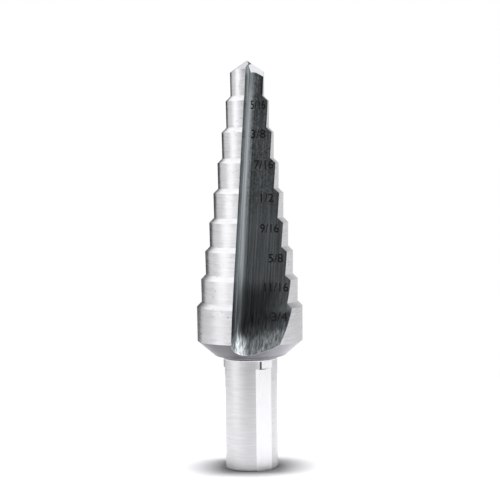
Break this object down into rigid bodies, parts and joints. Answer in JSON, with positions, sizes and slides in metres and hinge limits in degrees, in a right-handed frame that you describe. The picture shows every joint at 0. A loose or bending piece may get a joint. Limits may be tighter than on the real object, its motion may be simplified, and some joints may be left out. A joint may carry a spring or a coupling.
{
  "type": "step drill",
  "caption": "Straight-fluted step drill with a split point and a round shank with chuck flats, which opens a hole in sheet to stepped sizes.",
  "frame": {"origin": "centre of the shank's end face, on which the drill stands", "axes": "+Z along the drill's axis from the shank to the point; -Y is the side on which the flute with the size numbers opens"},
  "size_m": [0.0188, 0.018, 0.0721],
  "materials": {
    "ground_steel": "satin ground, with darker ground flutes"
  },
  "bodies": {
    "root": {"step_drill": "ground_steel"}
  },
  "joints": []
}
